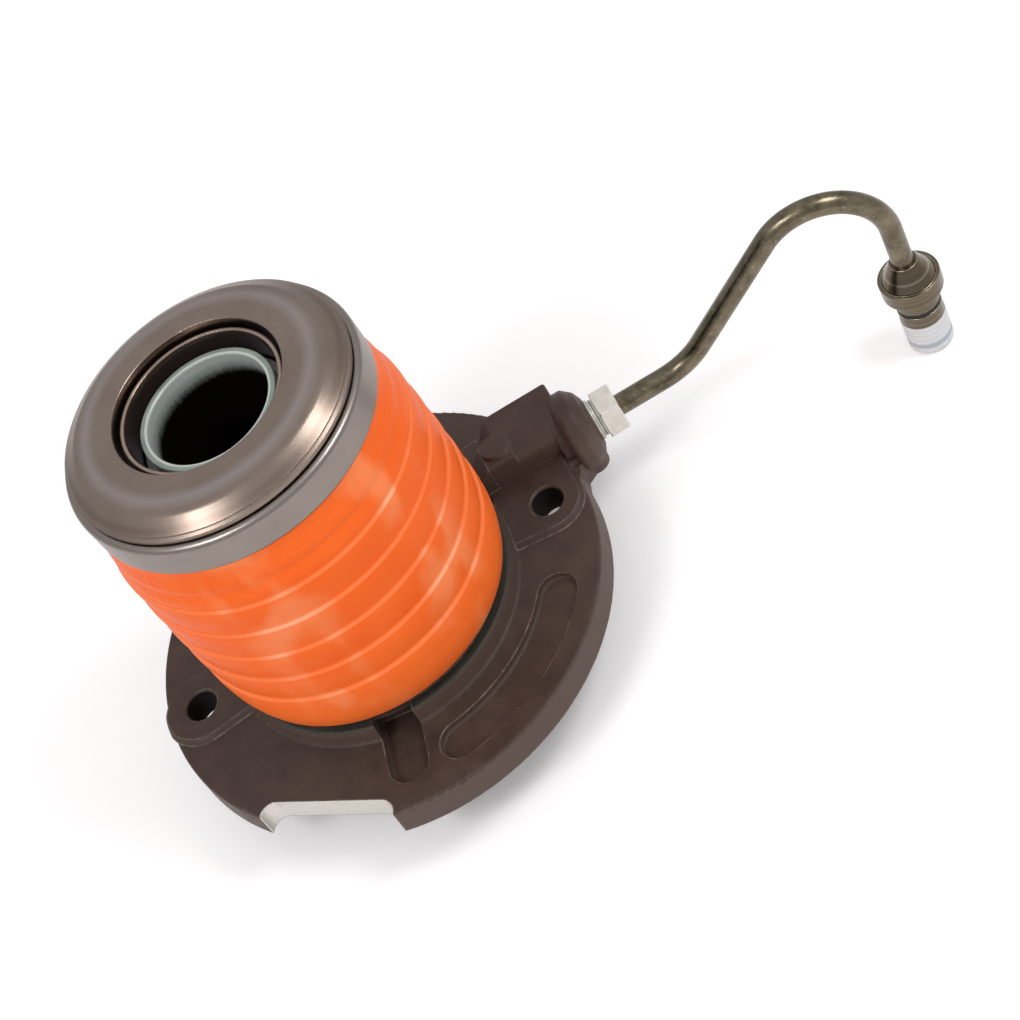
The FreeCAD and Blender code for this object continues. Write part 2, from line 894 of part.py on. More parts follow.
def transport_cap():
    """Push-on cap over the connector's nose."""
    d = connector_depths()
    top = d["nose"] + seat_gap
    bottom = top + cap_length
    inner = connector_nose_r + seat_gap
    outer = inner + cap_wall
    return at_connector([
        (inner, top),
        (outer, top),
        (outer, bottom, cap_round),
        (0, bottom),
        (0, bottom - cap_wall),
        (inner, bottom - cap_wall),
    ])


# Boot and spring between the housing and the bearing

def boot_profile(inset):
    """Radii and heights up one side of the boot's folds, moved inward by inset."""
    points = []
    for i in range(boot_folds):
        crest_z = boot_low_crest + i * boot_pitch
        crest_r = boot_crest_r - boot_taper * i * i - inset
        ledge_z = crest_z + boot_pitch * 0.42
        if i:
            points.append((crest_r - boot_crease / 3, crest_z - boot_pitch * 0.25, boot_pitch / 3))
        points.append((crest_r, crest_z + boot_pitch * 0.15, boot_pitch))
        points.append((crest_r - boot_crease / 5, ledge_z, boot_wall / 4))
        points.append((crest_r - boot_crease, ledge_z + boot_ledge, boot_wall / 4))
    return points


def boot():
    """Bellows of wide shallow folds, with a narrow crease between each two."""
    last_crest = boot_low_crest + (boot_folds - 1) * boot_pitch
    taper_top = last_crest + boot_pitch
    bead_z = taper_top + 0.2 * boot_pitch
    outer = [
        (boot_sleeve_r, boot_bottom),
        (boot_foot_r, boot_bottom, boot_wall / 2),
        ((boot_foot_r + 3 * boot_crest_r) / 4, boot_bottom + boot_first_crest * 0.45, boot_first_crest / 2),
    ] + boot_profile(0) + [
        (boot_head_r + 2 * boot_crease, taper_top - 0.3 * boot_pitch, boot_wall),
        (boot_head_r + boot_crease, taper_top, boot_wall / 4),
        (boot_head_r + 1.2 * boot_crease, bead_z, boot_wall / 2),
        (boot_head_r, cup_bottom - 2 * boot_wall),
        (boot_head_r, cup_bottom),
    ]
    inner = [
        (boot_sleeve_r, ring_top + boot_wall),
    ] + boot_profile(boot_wall) + [
        (boot_head_r + boot_crease - boot_wall, taper_top),
        (boot_head_r - boot_wall, cup_bottom),
    ]
    return turned(outer + inner[::-1])


def spring_half_turn(start_z, rise):
    """Half turn of wire from +X to -X, rising by rise, in a tilted plane."""
    start = vector(spring_r, 0, start_z)
    centre = vector(0, 0, start_z + rise / 2)
    section = Part.Face(Part.Wire(Part.makeCircle(wire_r, start, y_axis)))
    return section.revolve(centre, (start - centre).cross(y_axis), 180)


def preload_spring():
    """Coil spring between its two seats, with a flat half turn at each end."""
    height = spring_top - spring_bottom - 2 * wire_r
    rise = height / (spring_half_turns - 2)
    z = spring_bottom + wire_r
    pieces = []
    for i in range(spring_half_turns):
        flat = i in (0, spring_half_turns - 1)
        piece = spring_half_turn(z, 0.0 if flat else rise)
        pieces.append(turn(piece, 180 * (i % 2)))
        z += 0.0 if flat else rise
    return pieces[0].fuse(pieces[1:])


# Pieces that slide with the bearing

def piston():
    """Annular piston: head in the chamber, long skirt, and a flange and neck that carry the bearing."""
    return turned([
        (piston_inner_r, piston_bottom),
        (piston_outer_r, piston_bottom),
        (piston_outer_r, piston_bottom + piston_head_h),
        (piston_skirt_r, piston_bottom + piston_head_h),
        (piston_skirt_r, piston_flange_top - piston_flange_h),
        (piston_flange_r, piston_flange_top - piston_flange_h),
        (piston_flange_r, piston_flange_top),
        (piston_neck_r, piston_flange_top),
        (piston_neck_r, clip_z),
        (clip_inner_r, clip_z),
        (clip_inner_r, clip_z + clip_h + 2 * seat_gap),
        (piston_neck_r, clip_z + clip_h + 2 * seat_gap),
        (piston_neck_r, piston_neck_top),
        (piston_inner_r, piston_neck_top),
    ])


def piston_seal():
    """Two-lipped annular seal under the piston's head."""
    top = piston_bottom
    bottom = top - piston_seal_h
    return turned([
        (piston_inner_r, top),
        (piston_inner_r, bottom),
        (piston_inner_r + piston_seal_lip, bottom),
        ((piston_inner_r + piston_outer_r) / 2, bottom + piston_seal_h * 0.6),
        (piston_outer_r - piston_seal_lip, bottom),
        (piston_outer_r, bottom),
        (piston_outer_r, top),
    ])


def bearing_cup():
    """Pressed steel cup, the grey band round the bearing."""
    return turned([
        (piston_neck_r + running_gap, cup_bottom),
        (cup_r, cup_bottom, 0.6),
        (cup_r, cup_top, 0.9 * cup_roll),
        (cup_r - cup_roll, cup_top, cup_roll_h / 8),
        (cup_r - cup_roll, cup_top - 0.4 * cup_roll_h),
        (cup_inner_r, cup_top - cup_roll_h),
        (cup_inner_r, cup_plate_top),
        (piston_neck_r + running_gap, cup_plate_top),
    ])


def race_groove():
    """Ring-shaped cutter for the ball track."""
    track = Part.makeTorus(ball_circle_r, ball_r + groove_gap)
    track.translate(vector(0, 0, ball_z))
    return track


def fixed_race():
    step_r = clip_outer_r + sleeve_gap
    outer_r = cup_inner_r - outer_seal_width - 2 * seat_gap
    body = turned([
        (step_r, cup_plate_top),
        (outer_r, cup_plate_top),
        (outer_r, fixed_race_top, sleeve_gap),
        (sleeve_r, fixed_race_top),
        (sleeve_r, sleeve_top, sleeve_wall * 0.4),
        (sleeve_inner_r, sleeve_top, sleeve_wall * 0.4),
        (sleeve_inner_r, piston_neck_top),
        (step_r, piston_neck_top - 2 * sleeve_gap),
    ])
    return body.cut(race_groove())


def bearing_clip():
    """Split ring that holds the bearing on the piston's neck."""
    bottom = clip_z
    body = ring(clip_inner_r + seat_gap, clip_outer_r, bottom, bottom + clip_h)
    gap = box(0, clip_outer_r + 1, -1.5, 1.5, bottom - 1, bottom + clip_h + 1)
    return body.cut(turn(gap, -90))


def centring_washer():
    """Conical spring washer that lets the bearing centre itself."""
    bottom = piston_flange_top
    top = cup_bottom
    inner_r = piston_neck_r + washer_t
    outer_r = piston_flange_r - washer_t
    return turned([
        (inner_r, top - washer_t),
        (outer_r, bottom),
        (outer_r, bottom + washer_t),
        (inner_r, top),
    ])


def upper_spring_seat():
    return ring(cylinder_r, boot_head_r - 2 * boot_wall, spring_top, cup_bottom)


def inner_seal():
    return ring(sleeve_r, inner_seal_r, inner_seal_z, inner_seal_z + inner_seal_h)


def outer_seal():
    bottom = fixed_race_top
    return ring(cup_inner_r - outer_seal_width, cup_inner_r, bottom, bottom + outer_seal_h)


# Turning pieces of the bearing

def release_race():
    """Turning race with the face that presses on the clutch's spring fingers."""
    lip_bottom = race_shoulder_z - race_lip_h
    lip_inner_r = race_lip_r - race_lip_h
    seal_room_r = inner_seal_r + sleeve_gap
    seal_room_top = inner_seal_z + inner_seal_h + sleeve_gap
    body = turned([
        (race_bore_r, bearing_top, 0.5),
        (race_flat_r + 0.25 * race_crown_width, bearing_top, 1.6 * race_crown_width),
        (race_flat_r + race_crown_width, bearing_top - race_crown_drop, 1.2 * race_crown_width),
        (race_shoulder_r, race_shoulder_z + race_edge_h, 0.8 * race_edge_h),
        (race_shoulder_r, race_shoulder_z),
        (race_lip_r, race_shoulder_z - 0.3 * race_lip_h),
        (race_lip_r, lip_bottom),
        (lip_inner_r, lip_bottom),
        (lip_inner_r, race_under),
        (seal_room_r, race_under),
        (seal_room_r, seal_room_top),
        (race_bore_r, seal_room_top),
    ])
    return body.cut(race_groove())


def ball_cage():
    body = ring(ball_circle_r - cage_half_width, ball_circle_r + cage_half_width, ball_z - cage_h / 2, ball_z + cage_h / 2)
    for i in range(ball_count):
        pocket = cylinder_z(ball_r + pocket_gap, ball_z - cage_h, ball_z + cage_h, ball_circle_r)
        body = body.cut(turn(pocket, i * 360.0 / ball_count))
    return body


def bearing_balls():
    balls = []
    for i in range(ball_count):
        ball = Part.makeSphere(ball_r, vector(ball_circle_r, 0, ball_z))
        balls.append(turn(ball, i * 360.0 / ball_count))
    return Part.makeCompound(balls)


nodes = [
    ("housing", housing),
    ("port_block", port_block),
    ("pressure_cylinder", pressure_cylinder),
    ("locating_spigot", locating_spigot),
    ("boot_ring", boot_ring),
    ("guide_tube", guide_tube),
    ("shaft_seal", shaft_seal),
    ("spigot_ring", spigot_ring),
    ("stop_ring", stop_ring),
    ("lower_spring_seat", lower_spring_seat),
    ("port_nut", port_nut),
    ("pipe", pipe),
    ("quick_connector", quick_connector),
    ("connector_seal", connector_seal),
    ("transport_cap", transport_cap),
    ("boot", boot),
    ("preload_spring", preload_spring),
    ("piston", piston),
    ("piston_seal", piston_seal),
    ("bearing_cup", bearing_cup),
    ("fixed_race", fixed_race),
    ("bearing_clip", bearing_clip),
    ("centring_washer", centring_washer),
    ("upper_spring_seat", upper_spring_seat),
    ("inner_seal", inner_seal),
    ("outer_seal", outer_seal),
    ("release_race", release_race),
    ("ball_cage", ball_cage),
    ("bearing_balls", bearing_balls),
]

os.makedirs("parts", exist_ok=True)
for name, make in nodes:
    shape = make()
    shape.exportStep("parts/" + name + ".step")
    print(name, "valid", shape.isValid(), "solids", len(shape.Solids), "volume", round(shape.Volume, 1))
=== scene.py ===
import math

import bmesh
import bpy
from mathutils import Matrix, Vector


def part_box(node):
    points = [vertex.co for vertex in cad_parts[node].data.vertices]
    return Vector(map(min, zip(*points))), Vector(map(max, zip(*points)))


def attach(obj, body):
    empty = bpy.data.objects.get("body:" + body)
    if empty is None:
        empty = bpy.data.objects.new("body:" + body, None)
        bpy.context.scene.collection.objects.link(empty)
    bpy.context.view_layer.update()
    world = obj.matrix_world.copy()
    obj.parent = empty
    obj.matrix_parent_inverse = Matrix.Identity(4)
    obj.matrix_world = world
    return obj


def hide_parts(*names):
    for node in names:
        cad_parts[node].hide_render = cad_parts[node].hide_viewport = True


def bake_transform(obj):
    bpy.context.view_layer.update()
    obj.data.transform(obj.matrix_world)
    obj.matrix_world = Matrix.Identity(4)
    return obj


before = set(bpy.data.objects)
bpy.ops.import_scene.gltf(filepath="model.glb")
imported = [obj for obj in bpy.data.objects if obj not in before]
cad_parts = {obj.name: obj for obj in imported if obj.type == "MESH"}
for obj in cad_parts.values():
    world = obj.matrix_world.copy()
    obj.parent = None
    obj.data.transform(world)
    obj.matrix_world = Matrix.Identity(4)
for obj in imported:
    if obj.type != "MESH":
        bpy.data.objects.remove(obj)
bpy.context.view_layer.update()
mm = 0.001


def stageLog(text):
    print("stage:", text, flush=True)


def colour(r, g, b):
    # screen values 0 to 255, turned into the linear colour that sockets take
    def linear(v):
        v = v / 255
        return v / 12.92 if v <= 0.04045 else ((v + 0.055) / 1.055) ** 2.4
    return (linear(r), linear(g), linear(b), 1)


# Nodes

def addNode(tree, kind, feeds=None, **settings):
    made = tree.nodes.new("ShaderNode" + kind)
    for key, value in settings.items():
        setattr(made, key, value)
    for key, value in (feeds or {}).items():
        if isinstance(value, bpy.types.NodeSocket):
            tree.links.new(value, made.inputs[key])
        else:
            made.inputs[key].default_value = value
    return made


def newFinish(name, metal=0.0, coat=0.0, coatRoughness=0.1, specular=0.5):
    finish = bpy.data.materials.new(name)
    finish.use_nodes = True
    shader = finish.node_tree.nodes["Principled BSDF"]
    shader.inputs["Metallic"].default_value = metal
    shader.inputs["Coat Weight"].default_value = coat
    shader.inputs["Coat Roughness"].default_value = coatRoughness
    shader.inputs["Specular IOR Level"].default_value = specular
    return finish, finish.node_tree, shader


def dressShader(tree, shader, base, rough, normal):
    for output, name in [(base, "Base Color"), (rough, "Roughness"), (normal, "Normal")]:
        tree.links.new(output, shader.inputs[name])


def objectPlace(tree):
    return addNode(tree, "TexCoord").outputs["Object"]


def coordinate(tree, vector, axis):
    return addNode(tree, "SeparateXYZ", {0: vector}).outputs[axis]


def stretch(tree, place, factors):
    return addNode(tree, "VectorMath", {0: place, 1: factors}, operation="MULTIPLY").outputs["Vector"]


def grain(tree, place, size, detail=3, roughness=0.55):
    # noise with features about size mm wide
    noise = addNode(tree, "TexNoise", {"Vector": place, "Scale": 1 / (size * mm), "Detail": detail,
                                       "Roughness": roughness})
    return noise.outputs["Fac"]


def spread(tree, value, low, high, start=0.0, end=1.0):
    return addNode(tree, "MapRange", {"Value": value, "From Min": low, "From Max": high, "To Min": start,
                                      "To Max": end}).outputs["Result"]


def blendColours(tree, amount, first, second):
    mix = addNode(tree, "Mix", {0: amount, 6: first, 7: second}, data_type="RGBA")
    return mix.outputs[2]


def calculate(tree, operation, first, second=0.0):
    return addNode(tree, "Math", {0: first, 1: second}, operation=operation).outputs[0]


def times(tree, first, *others):
    for other in others:
        first = calculate(tree, "MULTIPLY", first, other)
    return first


noiseRange = (0.3, 0.7)                  # where nearly all of a noise's values lie


def mottled(tree, cloud, s):
    return blendColours(tree, spread(tree, cloud, *noiseRange), colour(*s["dark"]), colour(*s["light"]))


def uneven(tree, cloud, limits):
    return spread(tree, cloud, *noiseRange, *limits)


def levelness(tree):
    # 1 on level faces and 0 on upright walls
    normal = addNode(tree, "NewGeometry").outputs["Normal"]
    return calculate(tree, "ABSOLUTE", coordinate(tree, normal, "Z"))


def aboutShaft(tree, place, axis=(0, 0)):
    # distance from an upright axis, and height
    flat = addNode(tree, "VectorMath", {0: place, 1: (axis[0], axis[1], 0)}, operation="SUBTRACT").outputs["Vector"]
    radius = addNode(tree, "VectorMath", {0: stretch(tree, flat, (1, 1, 0))}, operation="LENGTH").outputs["Value"]
    return radius, coordinate(tree, place, "Z")


def middleOf(node):
    low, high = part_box(node)
    return (low.x + high.x) / 2, (low.y + high.y) / 2


def latheLines(tree, radius, height, size):
    # fine rings about the axis, as turning leaves them on faces and walls alike
    across = addNode(tree, "CombineXYZ", {"X": radius, "Y": height, "Z": 0.0}).outputs[0]
    return grain(tree, across, size, detail=2)


def roundedEdge(tree, width, limits):
    # how much an edge is rounded within width mm: 0 on open faces, towards 1 on edges
    soft = addNode(tree, "Bevel", {"Radius": width * mm}, samples=6)
    own = addNode(tree, "NewGeometry").outputs["Normal"]
    same = addNode(tree, "VectorMath", {0: soft.outputs[0], 1: own}, operation="DOT_PRODUCT").outputs["Value"]
    return spread(tree, calculate(tree, "SUBTRACT", 1.0, same), *limits), soft.outputs[0]


def bump(tree, height, depth, normal=None):
    feeds = {"Height": height, "Strength": 1.0, "Distance": depth * mm}
    if normal is not None:
        feeds["Normal"] = normal
    return addNode(tree, "Bump", feeds).outputs[0]


# Camera, lamps and floor: the camera's place comes from the photograph's own perspective

viewSettings = {
    "place": (82.25, -353.45, 402.42),      # mm
    "right": (0.85816, -0.33565, -0.38845),
    "up": (0.50836, 0.66111, 0.55182),
    "lens": 70.54, "sensor": 36,
    "clip": (0.01, 50),                     # m
}


def buildCamera(s):
    right = Vector(s["right"]).normalized()
    up = Vector(s["up"]).normalized()
    back = right.cross(up).normalized()
    data = bpy.data.cameras.new("camera")
    data.lens = s["lens"]
    data.sensor_width = s["sensor"]
    data.clip_start, data.clip_end = s["clip"]
    camera = bpy.data.objects.new("camera", data)
    turn = Matrix((right, up, back)).transposed().to_4x4()
    camera.matrix_world = Matrix.Translation(Vector(s["place"]) * mm) @ turn
    bpy.context.scene.collection.objects.link(camera)
    bpy.context.scene.camera = camera
    bpy.context.scene.view_settings.view_transform = "Standard"


softBoxes = {
    "azimuths": {"softBoxLeft": -138, "softBoxRight": -18}, "height": 51,
    "target": (0, 0, 50), "reach": 760,     # mm
    "size": (0.26, 0.2), "power": 1.75,     # m and W
}


def buildSoftBoxes(s):
    lift = math.radians(s["height"])
    for name, azimuth in s["azimuths"].items():
        data = bpy.data.lights.new(name, "AREA")
        data.shape = "RECTANGLE"
        data.size, data.size_y = s["size"]
        data.energy = s["power"]
        lamp = bpy.data.objects.new(name, data)
        turn = math.radians(azimuth)
        aim = Vector((math.cos(lift) * math.cos(turn), math.cos(lift) * math.sin(turn), math.sin(lift)))
        lamp.location = (Vector(s["target"]) + aim * s["reach"]) * mm
        lamp.rotation_euler = aim.to_track_quat("Z", "Y").to_euler()
        bpy.context.scene.collection.objects.link(lamp)


worldSettings = {"horizon": 0.52, "zenith": 0.72, "zenithFrom": 0.8, "tint": (250, 250, 252), "backdrop": 1.0}


def buildWorld(s):
    world = bpy.data.worlds.new("whiteStudio")
    bpy.context.scene.world = world
    world.use_nodes = True
    tree = world.node_tree
    tree.nodes.clear()
    path = addNode(tree, "LightPath")
    seen = calculate(tree, "MAXIMUM", path.outputs["Is Camera Ray"], path.outputs["Is Transmission Ray"])
    # dimmer towards the horizon, so that metal shows darker bands between its highlights
    upward = coordinate(tree, addNode(tree, "TexCoord").outputs["Generated"], "Z")
    level = spread(tree, upward, 0.0, s["zenithFrom"], s["horizon"], s["zenith"])
    soft = addNode(tree, "Background", {"Color": colour(*s["tint"]), "Strength": level})
    white = addNode(tree, "Background", {"Color": (1, 1, 1, 1), "Strength": s["backdrop"]})
    both = addNode(tree, "MixShader", {0: seen, 1: soft.outputs[0], 2: white.outputs[0]})
    addNode(tree, "OutputWorld", {"Surface": both.outputs[0]})


floorSettings = {
    "half": 3.0,                            # m
    "drop": -18.05, "glowFade": (90, 300),  # mm
    "colour": (250, 248, 248), "glow": (0.17, 0.32),
}


def buildFloor(s):
    shape = bmesh.new()
    bmesh.ops.create_grid(shape, x_segments=1, y_segments=1, size=s["half"],
                          matrix=Matrix.Translation((0, 0, s["drop"] * mm)))
    floor = finishMesh(shape, "floor")
    paper = bpy.data.materials.new("whitePaper")
    paper.use_nodes = True
    tree = paper.node_tree
    tree.nodes.clear()
    path = addNode(tree, "LightPath")
    # the paper fades to white away from the object and keeps its shadow near it
    away = addNode(tree, "VectorMath", {0: objectPlace(tree)}, operation="LENGTH").outputs["Value"]
    near, far = s["glowFade"]
    glow = times(tree, spread(tree, away, near * mm, far * mm, *s["glow"]), path.outputs["Is Camera Ray"])
    matt = addNode(tree, "BsdfDiffuse", {"Color": colour(*s["colour"])})
    shine = addNode(tree, "Emission", {"Color": (1, 1, 1, 1), "Strength": glow})
    both = addNode(tree, "AddShader", {0: matt.outputs[0], 1: shine.outputs[0]})
    addNode(tree, "OutputMaterial", {"Surface": both.outputs[0]})
    floor.data.materials.append(paper)


# Meshes

mergeGap = 1e-6                             # m, under which points are one
edgeShape = 0.5                             # profile of a round bevel


def finishMesh(shape, name, smooth=False):
    mesh = bpy.data.meshes.new(name)
    for face in shape.faces:
        face.smooth = smooth
    shape.to_mesh(mesh)
    shape.free()
    piece = bpy.data.objects.new(name, mesh)
    bpy.context.scene.collection.objects.link(piece)
    return piece


def markSharp(shape, angle):
    for edge in shape.edges:
        edge.smooth = len(edge.link_faces) == 2 and edge.calc_face_angle() < math.radians(angle)


def turnPiece(name, outline, steps, segments, sharp):
    # outline: closed line of (radius, height, rounding) in mm, turned about the shaft axis
    shape = bmesh.new()
    corners = [shape.verts.new((radius * mm, 0, height * mm)) for radius, height, _ in outline]
    shape.faces.new(corners)
    for corner, (_, _, rounding) in zip(corners, outline):
        bmesh.ops.bevel(shape, geom=[corner], offset=rounding * mm, offset_type="OFFSET", affect="VERTICES",
                        segments=segments, profile=edgeShape, material=-1)
    bmesh.ops.delete(shape, geom=shape.faces[:], context="FACES_ONLY")
    bmesh.ops.spin(shape, geom=shape.verts[:] + shape.edges[:], cent=(0, 0, 0), axis=(0, 0, 1),
                   angle=math.tau, steps=steps, use_merge=True)
    bmesh.ops.remove_doubles(shape, verts=shape.verts[:], dist=mergeGap)
    bmesh.ops.recalc_face_normals(shape, faces=shape.faces[:])
    markSharp(shape, sharp)
    return finishMesh(shape, name, smooth=True)


def fitCopy(node, name, finish, body, sharp=30, weight="FACE_AREA"):
    # the solid's own triangles, joined and shaded smooth, in the solid's place
    shape = bmesh.new()
    shape.from_mesh(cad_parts[node].data)
    bmesh.ops.remove_doubles(shape, verts=shape.verts[:], dist=mergeGap)
    markSharp(shape, sharp)
    piece = finishMesh(shape, name, smooth=True)
    weighted = piece.modifiers.new("evenShading", "WEIGHTED_NORMAL")
    weighted.keep_sharp = True
    weighted.mode = weight
    piece.data.materials.clear()
    piece.data.materials.append(finish)
    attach(piece, body)
    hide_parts(node)


def dressNode(node, finish):
    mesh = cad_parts[node].data
    mesh.materials.clear()
    mesh.materials.append(finish)


def keepPlaces(piece):
    # the finish follows the rest shape when the piece folds
    places = piece.data.attributes.new("restPlace", "FLOAT_VECTOR", "POINT")
    for vertex in piece.data.vertices:
        places.data[vertex.index].vector = vertex.co


# Finishes

castingLook = {
    "dark": (56, 41, 34), "light": (72, 54, 45), "mottle": 9.0,
    "wall": (92, 74, 65), "wallLightAmount": 0.75,
    "speck": (118, 102, 92), "specks": (0.6, 0.78), "speckAmount": 0.4,
    "grain": 0.35, "grainDepth": 0.025, "rough": (0.42, 0.56), "specular": 0.38,
    "edgeWearAndHighlight": (168, 154, 142), "edgeWearAndHighlightAmounts": {"coatedCasting": 0.75, "portCasting": 0.35},
    "edge": 0.75, "edgeTurn": (0.02, 0.16),
    "patch": 3.5, "patches": (0.42, 0.62), "leastEdgeWearAndHighlight": 0.15,
    "bootShadow": (46, 46, 38), "bootShadowRadius": (40.4, 41.4), "bootShadowAbove": 12.4, "bootShadowAmount": 0.8,
    "holeX": 54.0, "holeRadius": 4.8, "holeShade": (22, 13, 11),
    "bare": (232, 229, 222), "bareDark": (206, 204, 196), "milling": 0.2, "notchShine": 0.2,
    "notchAngle": -122.0, "notchFloor": 57.3, "notchHalf": 19.25,
}


def insideNotch(tree, place, wall, s):
    # 1 on the notch's walls, which are milled bare after coating
    turn = math.radians(s["notchAngle"])
    outward = (math.cos(turn) / mm, math.sin(turn) / mm, 0)
    sideways = (-math.sin(turn) / mm, math.cos(turn) / mm, 0)
    far = addNode(tree, "VectorMath", {0: place, 1: outward}, operation="DOT_PRODUCT").outputs["Value"]
    aside = addNode(tree, "VectorMath", {0: place, 1: sideways}, operation="DOT_PRODUCT").outputs["Value"]
    beyond = calculate(tree, "GREATER_THAN", far, s["notchFloor"] - 0.3)
    within = calculate(tree, "LESS_THAN", calculate(tree, "ABSOLUTE", aside), s["notchHalf"] + 0.15)
    return times(tree, beyond, within, wall)


def insideHoles(tree, place, wall, s):
    # 1 on the walls of the two bolt holes
    inside = 0.0
    for side in (-1, 1):
        fromHole = aboutShaft(tree, place, (side * s["holeX"] * mm, 0))[0]
        inside = calculate(tree, "MAXIMUM", calculate(tree, "LESS_THAN", fromHole, s["holeRadius"] * mm), inside)
    return times(tree, inside, wall)


def castingFinish(s, name, edgeWearAndHighlightAmount):
    # dark coated casting, rubbed pale along its edges; the pale edges are partly painted highlights on the rounded
    # edges
    finish, tree, shader = newFinish(name, specular=s["specular"])
    place = objectPlace(tree)
    fine = grain(tree, place, s["grain"], 4, 0.65)
    cloud = grain(tree, place, s["mottle"], 4, 0.6)
    level = levelness(tree)
    wall = calculate(tree, "LESS_THAN", level, 0.5)
    coat = mottled(tree, cloud, s)
    # painted light: upright walls lighter than level faces, as light falls on them
    coat = blendColours(tree, spread(tree, level, 0.3, 0.8, s["wallLightAmount"], 0.0), coat, colour(*s["wall"]))
    coat = blendColours(tree, spread(tree, fine, *s["specks"], 0.0, s["speckAmount"]), coat, colour(*s["speck"]))
    # painted shade: greener and darker on the step that the boot stands on, where the boot's shadow falls
    radius, height = aboutShaft(tree, place)
    inner, outer = s["bootShadowRadius"]
    close = spread(tree, radius, inner * mm, outer * mm, s["bootShadowAmount"], 0.0)
    paintedBootShadow = times(tree, close, calculate(tree, "GREATER_THAN", height, s["bootShadowAbove"] * mm))
    coat = blendColours(tree, paintedBootShadow, coat, colour(*s["bootShadow"]))
    # edges made pale: partly real wear, partly painted highlight on rounded edges
    edge, softNormal = roundedEdge(tree, s["edge"], s["edgeTurn"])
    patch = spread(tree, grain(tree, place, s["patch"], 4, 0.7), *s["patches"], s["leastEdgeWearAndHighlight"], 1.0)
    coat = blendColours(tree, times(tree, edge, patch, edgeWearAndHighlightAmount), coat, colour(*s["edgeWearAndHighlight"]))
    # painted shade: the bolt holes' walls made dark, and fully rough so they hold no shine
    holeShadeMask = insideHoles(tree, place, wall, s)
    coat = blendColours(tree, holeShadeMask, coat, colour(*s["holeShade"]))
    inNotch = insideNotch(tree, place, wall, s)
    milled = grain(tree, stretch(tree, place, (0.05, 0.05, 1)), s["milling"], 2)
    bare = blendColours(tree, milled, colour(*s["bare"]), colour(*s["bareDark"]))
    tree.links.new(inNotch, shader.inputs["Metallic"])
    rough = calculate(tree, "MAXIMUM", uneven(tree, cloud, s["rough"]), holeShadeMask)
    rough = calculate(tree, "SUBTRACT", rough, times(tree, inNotch, s["notchShine"]))
    dressShader(tree, shader, blendColours(tree, inNotch, coat, bare), rough,
                bump(tree, fine, s["grainDepth"], softNormal))
    return finish


bootLook = {
    "body": (247, 103, 36), "pale": (249, 109, 42), "mottle": 14,
    "foot": (255, 118, 50), "footLightFade": (24, 46), "footLightAmount": 0.8,
    "edge": (255, 152, 102), "ledgeHighlightFade": (0.02, 0.055), "ledgeHighlightAmount": 0.4,
    "highlightPatch": (255, 156, 104), "highlightAngles": (-50, -104), "highlightWidth": 0.24, "highlightAmount": 0.52,
    "patch": 11, "patches": (0.46, 0.62), "glint": (255, 206, 172), "glintAmount": 1.1,
    "dust": (255, 190, 160), "dustSize": 1.1, "dustAmount": 0.3,
    "seamAngle": -143.0, "seamWidth": 0.35, "seamRadius": 42, "seamAmount": 0.3,
    "ripplesFrom": 76.5, "ripplesTo": 86.0, "rippleFade": 2, "ripple": 1.15, "rippleHeight": 0.35,
    "grain": 0.5, "grainHeight": 0.04, "relief": 0.07, "rough": (0.32, 0.38),
    "coat": 0.03, "coatRough": 0.3, "specular": 0.05,
    "glowThrough": 0.05, "glowDepth": 2, "glowColour": (1.0, 0.35, 0.15),
}


def ledgeHighlights(tree, height, s, shape):
    # painted highlight: a pale line along each fold's ledge, where the ledge catches the light
    pitch = shape["pitch"]
    ledge = shape["firstCrest"] + pitch * shape["ledgeAt"] + shape["ledge"] * 0.4
    turns = calculate(tree, "DIVIDE", calculate(tree, "SUBTRACT", height, (ledge - pitch / 2) * mm), pitch * mm)
    offset = calculate(tree, "ABSOLUTE", calculate(tree, "SUBTRACT", calculate(tree, "FRACT", turns), 0.5))
    above = calculate(tree, "GREATER_THAN", height, (ledge - 2) * mm)
    below = calculate(tree, "LESS_THAN", height, (ledge + (shape["folds"] - 0.7) * pitch) * mm)
    return times(tree, spread(tree, offset, *s["ledgeHighlightFade"], s["ledgeHighlightAmount"], 0.0), above, below)


